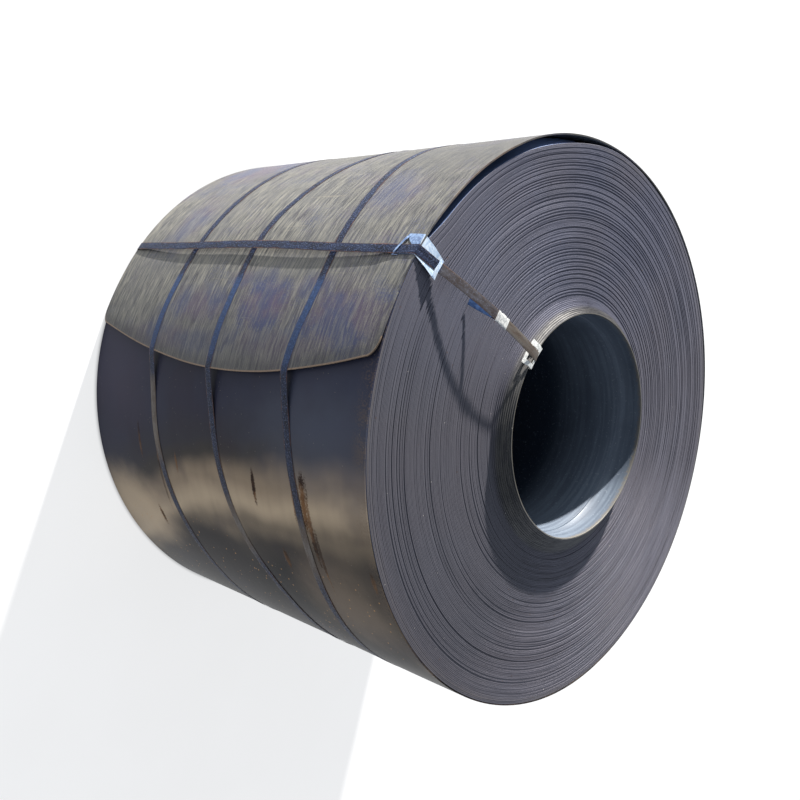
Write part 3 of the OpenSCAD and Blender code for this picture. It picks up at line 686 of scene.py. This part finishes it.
def sweep(pts, wide, normal, width, thick, closed=False, wfac=None):
    """A flat band along pts. wide and normal are unit vectors per point; the band's back lies on pts."""
    pts, wide, normal = map(lambda v: np.asarray(v, float), (pts, wide, normal))
    n = len(pts)
    w = width / 2 * (np.ones(n) if wfac is None else np.asarray(wfac))
    e = 0.25 * thick
    sec = [(-1, 0.12), (-1, 0.80), (-0.95, 1.0), (-0.35, 1.0), (0.35, 1.0), (0.95, 1.0), (1, 0.80), (1, 0.12), (0.9, 0.0), (-0.9, 0.0)]
    S = len(sec)
    V = np.zeros((n, S, 3))
    for j, (u, v) in enumerate(sec):
        V[:, j] = pts + wide * (u * w)[:, None] + normal * (v * thick)
    seg = np.linalg.norm(np.diff(pts, axis=0), axis=1)
    s = np.concatenate([[0], np.cumsum(seg)])
    att = np.zeros((n, S, 3))
    att[:, :, 0] = s[:, None] / 1000.0
    att[:, :, 1] = np.array([u for u, v in sec])[None, :] * w[:, None] / 1000.0
    F = grid_faces(n, S, wrap_n=closed, wrap_m=True)
    if not closed:
        F = [tuple(f) for f in F] + [tuple(range(S))[::-1], tuple((n - 1) * S + np.arange(S))]
    return V.reshape(-1, 3), F, att.reshape(-1, 3)


def outside_r(x, a):
    """Outside of the coil at x and angle a (0..360)."""
    a = np.asarray(a, float)
    e = float(edge_a(x))
    base = np.where(a <= TIP_A, spiral(a), spiral(a - 360.0))
    on_tail = (a > LIFT_A - 2) & (a <= e)
    r = np.where(on_tail, np.maximum(tail_at(np.minimum(a, e)), base - 0.2), base)
    tip = float(tail_at(e)) + 0.0
    low = OUT - 0.1
    touch = e + math.degrees(math.acos(low / tip))
    bridge = (a > e) & (a < touch)
    # straight line from the edge down to the roll
    line = low / np.cos(np.radians(np.clip(touch - a, -80, 80)))
    return np.where(bridge, np.maximum(line, base), r)


STRAPS = {
    "belly_strap_far": ([0, 60, 105, 120, 137, 150, 160, 170, 185, 200, 215, 240, 280, 360],
                        [-350, -348, -340, -330, -340, -350, -362, -345, -325, -288, -250, -262, -320, -350]),
    "belly_strap_mid": ([0, 60, 105, 124, 137, 150, 160, 170, 181, 190, 200, 210, 218, 240, 280, 360],
                        [30, 60, 84, 46, 6, 22, 14, 24, 46, 76, 112, 172, 200, 190, 90, 30]),
    "belly_strap_near": ([0, 60, 105, 118, 128, 137, 150, 162, 168, 181, 190, 205, 225, 260, 300, 360],
                         [430, 380, 340, 372, 404, 420, 440, 412, 412, 444, 468, 466, 440, 440, 440, 430]),
}
for name, (ta, tx) in STRAPS.items():
    a = np.arange(0.0, 360.0, 1.0)
    fine = np.concatenate([np.linspace(-60, 0, 61)[:-1], a, np.linspace(360, 420, 61)])
    px = np.interp(fine % 360.0, ta, tx)
    ker = np.hanning(17); ker /= ker.sum()
    px = np.convolve(px, ker, "same")[60:60 + len(a)]
    r = np.array([float(outside_r(px[i], a[i])) for i in range(len(a))])
    r_s = np.convolve(np.concatenate([r[-8:], r, r[:8]]), np.ones(3) / 3, "same")[8:-8]
    r = np.maximum(r, r_s) + 0.02
    pts = pol(px, r, a)
    rad = pol(0 * a, np.ones_like(a), a)
    tang = np.roll(pts, -1, 0) - np.roll(pts, 1, 0)
    tang /= np.linalg.norm(tang, axis=1)[:, None]
    wide = np.cross(rad, tang); wide /= np.linalg.norm(wide, axis=1)[:, None]
    wide *= np.sign(wide[:, :1])
    nor = np.cross(tang, wide)
    nor *= np.sign((nor * rad).sum(1))[:, None]
    v, f, at_ = sweep(pts, wide, nor, SW, 0.68, closed=True)
    f = f[:, ::-1]
    at_[:, 2] = 0.0
    at_r = at_.reshape(len(a), -1, 3)
    # the paint has gone where the strap rubs under the free end; across the tongue, from 144 to 171 degrees, the
    # straps get a lighter blue that is painted sky light in shade
    at_r[:, :, 2] = (0.15 * smooth(a, 176, 186) * (1 - smooth(a, 205, 226)) - 0.62 * smooth(a, 144, 150) * (1 - smooth(a, 163, 171)))[:, None]
    if name == "belly_strap_far":
        at_r[:, :, 2] += (0.75 * smooth(a, 168, 173) * (1 - smooth(a, 184, 192)))[:, None]
    else:
        at_r[:, :, 2] += (0.60 * smooth(a, 190, 195) * (1 - smooth(a, 201, 208)))[:, None]
    ob = make(name + "_band", v, f, STRAP, at_r.reshape(-1, 3), sharp=40)
    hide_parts(name)

# ------------------------------------------------------------------ eye strap
EP = (OUT + T) * np.array([math.cos(math.radians(142.2)), math.sin(math.radians(142.2))])
EQ = BORE * np.array([math.cos(math.radians(136.4)), math.sin(math.radians(136.4))])
ELEN = float(np.linalg.norm(EQ - EP))
EDIR = (EQ - EP) / ELEN
EWID = np.array([-EDIR[1], EDIR[0]])                          # across the strap, in the end's plane
PT = 1.5
OUT_X = HALF + PT + 1.0
RIM_X = HALF + 50 + 0.7


def face_pt(s, x):
    q = EP + EDIR * s
    return np.array([x, q[0], q[1]])


FOOT, FOOT_RISE, SEAL_RISE, SS = 92.0, 14.0, 58.0, 0.62 * ELEN
RUN_K = (HALF + SEAL_RISE - OUT_X - FOOT_RISE) / (SS - FOOT)
RUN_B = (OUT_X + FOOT_RISE + RUN_K * (ELEN - FOOT) - RIM_X) / ((ELEN - FOOT) * (ELEN - SS))


def run_x(s):
    """x of the strap's back along the near end: out with the protector's leg, over the seal, down to the rim."""
    if s < FOOT:
        return OUT_X + FOOT_RISE * max(0.0, s) / FOOT
    return OUT_X + FOOT_RISE + RUN_K * (s - FOOT) - RUN_B * (s - FOOT) * (s - SS)


# where the far run meets the outside
EPF = (OUT + T) * np.array([math.cos(math.radians(140.85)), math.sin(math.radians(140.85))])
pts, wide, bare = [], [], []
wv = np.array([0, EWID[0], EWID[1]])
# near run on the end, from the outer edge to the rim
for s in [2.2, 5, 12, 25, 45, 60, 75, 84, 92, 100, 115, 140, 170, 205, 240, 275, 305, 335, 360, 385, 410, 440, 470, 500, 530, 560]:
    if s < ELEN - 4:
        pts.append(face_pt(s, run_x(s) - 0.25 + 0.25 * math.sin(s / 37.0))); wide.append(wv)
        bare.append(0.12 if s < 100 else 0.5 if s < 0.60 * ELEN else 1.0)
for s in (ELEN - 3, ELEN - 1.2):
    pts.append(face_pt(s, run_x(s) - 0.2)); wide.append(wv); bare.append(1.0)
pts.append(face_pt(ELEN + 0.1, RIM_X - 0.4)); wide.append(wv); bare.append(1.0)
pts.append(face_pt(ELEN + 0.75, RIM_X - 1.6)); wide.append(wv); bare.append(1.0)
# bore run
ab = 136.4
tb = np.array([0, -math.sin(math.radians(ab)), math.cos(math.radians(ab))])
rb_ = BORE - 0.75
for x in [HALF + 44, HALF + 30, HALF + 5, HALF - 60, 600, 450, 300, 150, 0, -150, -300, -450, -600, -700, -719]:
    pts.append(pol(x, rb_, ab)); wide.append(tb * np.sign(tb @ wv)); bare.append(0.35)
# far end run, kept clear of the coil's slipped turns
pts.append(pol(-723.6, rb_ + 0.2, ab)); wide.append(wv); bare.append(0.2)
for s, x in [(ELEN + 0.4, -724.8), (ELEN - 2.0, -725.1), (ELEN - 20, -741), (ELEN - 45, -764), (ELEN - 64, -774.2), (ELEN - 72, -774.6), (400, -774.95), (300, -774.98), (200, -774.98), (100, -774.98), (30, -774.98), (4, -774.7), (0.6, -774.5)]:
    q = face_pt(s, x)
    q[1:] += (EPF - EP) * max(0.0, 1 - s / ELEN)
    pts.append(q); wide.append(wv); bare.append(0.2)
# outside run, from the far edge back to the near one
xo = np.concatenate([[-HALF + 0.45, -HALF + 1.2, -HALF + 6], np.linspace(-HALF + 30, HALF - 70, 46), [HALF - 58, HALF - 48, HALF - 36, HALF - 22, HALF - 8, HALF - 1.0, HALF + 1.6]])
for x in xo:
    k = (x + HALF) / (2 * HALF)
    a = 142.2 - 1.35 * (1 - k) + 0.25 * math.sin(k * 9.0)
    a = a + (142.2 - a) * float(smooth(x, HALF - 220, HALF - 60))
    bow = 12.4 * math.sin(math.pi * min(1, max(0, k))) ** 0.45
    r = OUT + T + 0.6 + bow * (1 - float(smooth(x, HALF - 130, HALF - 58))) + (PT + 0.2) * float(smooth(x, HALF - 120, HALF - 60))
    if x < -HALF + 2:
        r = OUT + T + 0.2
    if x > HALF + 1:
        r -= 0.6
    aa = math.radians(a)
    pts.append(pol(x, r, a))
    t = np.array([0, -math.sin(aa), math.cos(aa)])
    wide.append(t * np.sign(t @ wv)); bare.append(0.0)
pts, wide, bare = np.array(pts), np.array(wide), np.array(bare)
tang = np.roll(pts, -1, 0) - np.roll(pts, 1, 0)
tang /= np.linalg.norm(tang, axis=1)[:, None]
wide = wide - tang * (wide * tang).sum(1)[:, None]
wide /= np.linalg.norm(wide, axis=1)[:, None]
nor = np.cross(tang, wide)
mid_p = np.array([0, (EP[0] + EQ[0]) / 2, (EP[1] + EQ[1]) / 2])
nor *= np.sign((nor * (pts - mid_p)).sum(1))[:, None]         # away from the middle of the wound section
v, f, at_ = sweep(pts, wide, nor, SW, ST, closed=True)
at_[:, 2] = np.repeat(bare, 10)
v1, f1, a1 = v, f, at_
# spare end: lies under the strap in the seal, then hangs down to the end with a slight curl
sp, sw_, sn = [], [], []
for t in [-0.5, -0.25, -0.05, 0.0] + list(np.linspace(0.05, 1, 20)):
    if t <= 0:
        s = SS - 28 - 84 * t
        x = run_x(s) - 1.25
    else:
        s = SS - 28 - 84 * t
        x = (run_x(SS - 28) - 1.25) * (1 - t) + (HALF + 8.3) * t - 2.6 * math.sin(math.pi * t)
    q = EP + EDIR * s
    sp.append([x, q[0], q[1]])
    tw = math.radians(9 * max(0.0, t))
    sw_.append(wv * math.cos(tw) + np.array([1.0, 0, 0]) * math.sin(tw) * (1 if EWID[1] > 0 else -1))
sp, sw_ = np.array(sp), np.array(sw_)
tg = np.gradient(sp, axis=0); tg /= np.linalg.norm(tg, axis=1)[:, None]
sw_ = sw_ - tg * (sw_ * tg).sum(1)[:, None]; sw_ /= np.linalg.norm(sw_, axis=1)[:, None]
sn = np.cross(tg, sw_); sn *= np.sign(sn[:, :1] + 1e-9)
v2, f2, a2 = sweep(sp, sw_, sn, SW, ST)
a2[:, 0] += 7.0
a2[:, 2] = -1.0
V = np.concatenate([v1, v2])
F = [tuple(q) for q in f1] + [tuple(int(i) + len(v1) for i in q) for q in f2]
eye = make("eye_strap_band", V, F, STRAP, np.concatenate([a1, a2]), sharp=40)
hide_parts("eye_strap")

# ------------------------------------------------------------------ seal
import bmesh


def finish_mesh(bm, name, mat, node, bevel=0.0, sharp=30):
    bmesh.ops.recalc_face_normals(bm, faces=bm.faces[:])
    me = bpy.data.meshes.new(name)
    bm.to_mesh(me); bm.free()
    co = np.array([v.co[:] for v in me.vertices])
    me.vertices.foreach_set("co", stand(co).astype(np.float32).ravel())
    me.materials.append(mat)
    ob = bpy.data.objects.new(name, me)
    bpy.context.scene.collection.objects.link(ob)
    me.update()
    if bevel:
        bv = ob.modifiers.new("edge", "BEVEL")
        bv.width = bevel / 1000.0; bv.segments = 2; bv.limit_method = "ANGLE"; bv.angle_limit = math.radians(40)
    me.shade_smooth(); me.set_sharp_from_angle(angle=math.radians(sharp))
    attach(ob, "root"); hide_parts(node)
    return ob


def loft(bm, rings, closed_ends=True):
    """Skins equal rings of points (lists of 3-vectors) into a tube."""
    vs = [[bm.verts.new(p) for p in r] for r in rings]
    k = len(vs[0])
    for a, b in zip(vs, vs[1:]):
        for i in range(k):
            bm.faces.new((a[i], a[(i + 1) % k], b[(i + 1) % k], b[i]))
    if closed_ends:
        bm.faces.new(vs[0][::-1]); bm.faces.new(vs[-1])


bm = bmesh.new()
rings = []
for s in np.linspace(-28, 28, 41):
    # two crimps bite into both edges, and press the sleeve's face down there
    bite = sum(math.exp(-((s - c) / 2.3) ** 2) for c in (-14, 14))
    bulge = 0.5 * math.cos(math.pi * s / 56)
    hw = 18.0 - 2.6 * bite
    top = 1.45 - 0.5 * bite + bulge * 0.3
    ring = []
    for u, h in ((-1, -0.8), (-1, top - 0.6), (-0.93, top), (-0.5, top + 0.25), (0, top + 0.1), (0.5, top + 0.25), (0.93, top), (1, top - 0.6), (1, -0.8), (0.93, -1.7), (0, -1.9), (-0.93, -1.7)):
        q = EP + EDIR * (SS + s) + EWID * (u * hw)
        ring.append((run_x(SS + s) + h, q[0], q[1]))
    rings.append(ring)
loft(bm, rings)
finish_mesh(bm, "strap_seal_sleeve", SEAL, "strap_seal")

# ------------------------------------------------------------------ outer protector
AE = 142.2
er = np.array([0, math.cos(math.radians(AE)), math.sin(math.radians(AE))])     # outwards
et = np.array([0, -math.sin(math.radians(AE)), math.cos(math.radians(AE))])    # along the rim, up-going angle reversed
if et[2] > 0:
    pass
EDGE_R = OUT + T
up_t = -et if et[2] < 0 else et                               # the side nearer the top


LEAN = math.atan(FOOT_RISE / FOOT)


def prot(u, v, h=0.0):
    """Point on the bent sheet: u along the rim (+ towards the top), v along the sheet from
    the corner (+ down the end, - along the outside), h off the sheet. The end's leg leans out."""
    if v >= 0:
        p = er * (EDGE_R + 1.0 - v * math.cos(LEAN) + h * math.sin(LEAN)) + np.array([HALF + 0.2 + v * math.sin(LEAN) + h * math.cos(LEAN), 0, 0])
    else:
        p = er * (EDGE_R + 0.2 + h - u * u / 2 / EDGE_R * 1.0) + np.array([HALF + v, 0, 0])
    return p + up_t * u


def wing(bm, line_a, line_b, thick=1.5, n=14, bend=None):
    """A strip of sheet between two lines of (u, v, h), divided n times."""
    a = np.array(line_a, float); b = np.array(line_b, float)
    ta, tb = np.linspace(0, 1, len(a)), np.linspace(0, 1, len(b))
    rings = []
    for t in np.linspace(0, 1, n):
        pa = [np.interp(t, ta, a[:, i]) for i in range(3)]
        pb = [np.interp(t, tb, b[:, i]) for i in range(3)]
        ring = []
        for k in (0, 0.5, 1):
            q = [pa[i] + (pb[i] - pa[i]) * k for i in range(3)]
            ring.append(prot(q[0], q[1], q[2]))
        for k in (1, 0.5, 0):
            q = [pa[i] + (pb[i] - pa[i]) * k for i in range(3)]
            ring.append(prot(q[0], q[1], q[2] + thick))
        rings.append(ring)
    loft(bm, rings)


bm = bmesh.new()
# base under the strap, bent over the edge
wing(bm, [(17, -66, 0), (17, -0.1, 0)], [(-17, -66, 0), (-17, -0.1, 0)], 0.9, 8)
wing(bm, [(17, 0.0, 0), (17, 92, 0)], [(-17, 0.0, 0), (-17, 92, 0)], 0.9, 10)
# cheek beside the strap on the outside, and the broad one on the end that narrows inwards
wing(bm, [(17, -0.6, 0.0), (17, -30, 0.0), (31, -46, 0.2), (44, -56, 0.4)], [(52, -0.6, 0.2), (54, -24, 0.2), (55, -44, 0.4), (56, -57, 0.6)], 1.4, 14)
wing(bm, [(17, 0.4, 0.0), (17, 50, 0.2), (17, 92, 0.6)], [(52, 0.4, 0.4), (43, 50, 1.6), (30, 90, 2.6)], 1.4, 16)
# lower side on the end: nothing at the corner, widening to the bar
wing(bm, [(-16.5, 0.4, 0.0), (-16.5, 50, 0.2), (-15, 84, 0.4)], [(-18, 0.4, 0.2), (-26, 50, 1.6), (-36, 94, 2.6)], 1.4, 16)
# end bar that bridges the strap on the end
wing(bm, [(31, 83, 2.8), (12, 82, 4.0), (-12, 80, 4.0), (-30, 82, 3.0)], [(29, 95, 2.8), (12, 94, 4.0), (-12, 93, 4.0), (-36, 96, 3.0)], 1.3, 16)
wing(bm, [(29, 83, 0.2), (31, 83, 3.4)], [(28, 95, 0.2), (29.5, 95, 3.4)], 1.3, 4)
# raised bar that crosses the strap on the outside
wing(bm, [(56, -57, 0.4), (38, -66, 3.2), (17, -72, 4.6), (-8, -82, 4.6), (-20, -87, 1.2)], [(50, -47, 0.4), (33, -57, 3.2), (17, -63.5, 4.6), (-8, -74, 4.6), (-20, -79, 1.2)], 1.3, 18)
wing(bm, [(-17, -64, 0.0), (-17.5, -80, 1.0)], [(-20, -64, 0.0), (-20.5, -86, 1.0)], 1.2, 6)
finish_mesh(bm, "outer_protector_sheet", GALV, "outer_protector", bevel=0.35)

# ------------------------------------------------------------------ inner protector
bm = bmesh.new()


def arc_leg(a_lo, a_hi, prof, n=16):
    """Sweeps a thin section of (r, x) round the bore's axis."""
    rings = []
    for a in np.linspace(a_lo, a_hi, n):
        rings.append([tuple(pol(x, r, a)) for r, x in prof])
    loft(bm, rings)


RX = HALF + 50
t_ = 0.7
full = [(BORE - t_, RX - 40), (BORE - 0.05, RX - 40), (BORE, RX), (BORE + 17, RX - 0.2), (BORE + 43, RX - 13), (BORE + 43.4, RX - 12.2), (BORE + 17.2, RX + t_ - 0.1), (BORE - t_, RX + t_)]
arc_leg(131.0, 133.7, full, 5)
arc_leg(141.2, 143.4, full, 5)
arc_leg(133.7, 141.2, [(BORE - t_, RX - 40), (BORE - 0.05, RX - 40), (BORE, RX), (BORE + 6, RX), (BORE + 6, RX + t_), (BORE - t_, RX + t_)], 9)
arc_leg(133.7, 141.2, [(BORE + 33, RX - 8.0), (BORE + 43, RX - 13), (BORE + 43.4, RX - 12.2), (BORE + 33.4, RX - 7.2)], 9)
finish_mesh(bm, "inner_protector_sheet", PALE, "inner_protector", bevel=0.15)

# ------------------------------------------------------------------ floor, light and camera
fl = bpy.data.meshes.new("studio_floor")
lo_z = CAD_BOX[0][2]
gx = np.linspace(-40, 40, 9)
vv = [(x, y, lo_z) for x in gx for y in gx]
fl.from_pydata(vv, [], [tuple(int(i) for i in q) for q in grid_faces(9, 9, flip=True)])
fl.update()
floor = bpy.data.objects.new("studio_floor", fl)
bpy.context.scene.collection.objects.link(floor)
g = Mat("studio_floor")
fn = g.noise(g.co, 3.0, 3, 0.5)
g.set(color=g.mix(g.step(fn, 0.3, 0.7), (0.22, 0.22, 0.22), (0.24, 0.24, 0.24)), rough=0.9, spec=0.1)
# the studio floor glows away from the coil: most of its white in the picture is this glow, not light that falls on it
fr_ = g.vmath("LENGTH", g.vmath("MULTIPLY", g.co, (1, 1, 0)))
g.b.inputs["Emission Color"].default_value = (1, 1, 1, 1)
g.put(g.b.inputs["Emission Strength"], g.step(fr_, 0.955, 0.985, 0.0, 0.76))
fl.materials.append(g.m)

world = bpy.data.worlds.new("studio")
bpy.context.scene.world = world
world.use_nodes = True
world.node_tree.nodes["Background"].inputs["Color"].default_value = (0.82, 0.92, 1.08, 1)
world.node_tree.nodes["Background"].inputs["Strength"].default_value = 0.46


def area(name, direction, dist, size, power, color=(1, 1, 1), target=(0, 0, 0)):
    """Soft light from a direction given in drawing axes."""
    d = Vector(stand(np.array(direction, float)) * 1000).normalized()
    li = bpy.data.lights.new(name, "AREA")
    li.shape = "DISK"; li.size = size; li.energy = power; li.color = color
    ob = bpy.data.objects.new(name, li)
    ob.location = Vector(target) + d * dist
    ob.rotation_mode = "QUATERNION"
    ob.rotation_quaternion = (-d).to_track_quat("-Z", "Y")
    bpy.context.scene.collection.objects.link(ob)
    return ob


area("key", (0.235, 0.34, 0.91), 30.0, 0.8, 39500, (1.0, 0.97, 0.93))
area("sky", (0.30, 0.02, 0.92), 14.0, 12.0, 780, (0.84, 0.93, 1.0))
bpy.context.scene.view_settings.view_transform = "Standard"

cam = bpy.data.cameras.new("camera")
cam.lens = 39.92
cam.sensor_width = 36.0
cam.shift_x, cam.shift_y = -0.00125, -0.01022
cam_ob = bpy.data.objects.new("camera", cam)
bpy.context.scene.collection.objects.link(cam_ob)
right = stand(np.array([0.705789, 0.708422, -0.000464])) * 1000
up = stand(np.array([-0.108279, 0.108523, 0.988179])) * 1000
back = stand(np.array([0.700099, -0.697396, 0.153301])) * 1000
pos = stand(np.array([2492.707, -2543.460, 584.019]))
cam_ob.matrix_world = Matrix(((right[0], up[0], back[0], pos[0]), (right[1], up[1], back[1], pos[1]), (right[2], up[2], back[2], pos[2]), (0, 0, 0, 1)))
cam.clip_start, cam.clip_end = 0.05, 200
bpy.context.scene.camera = cam_ob
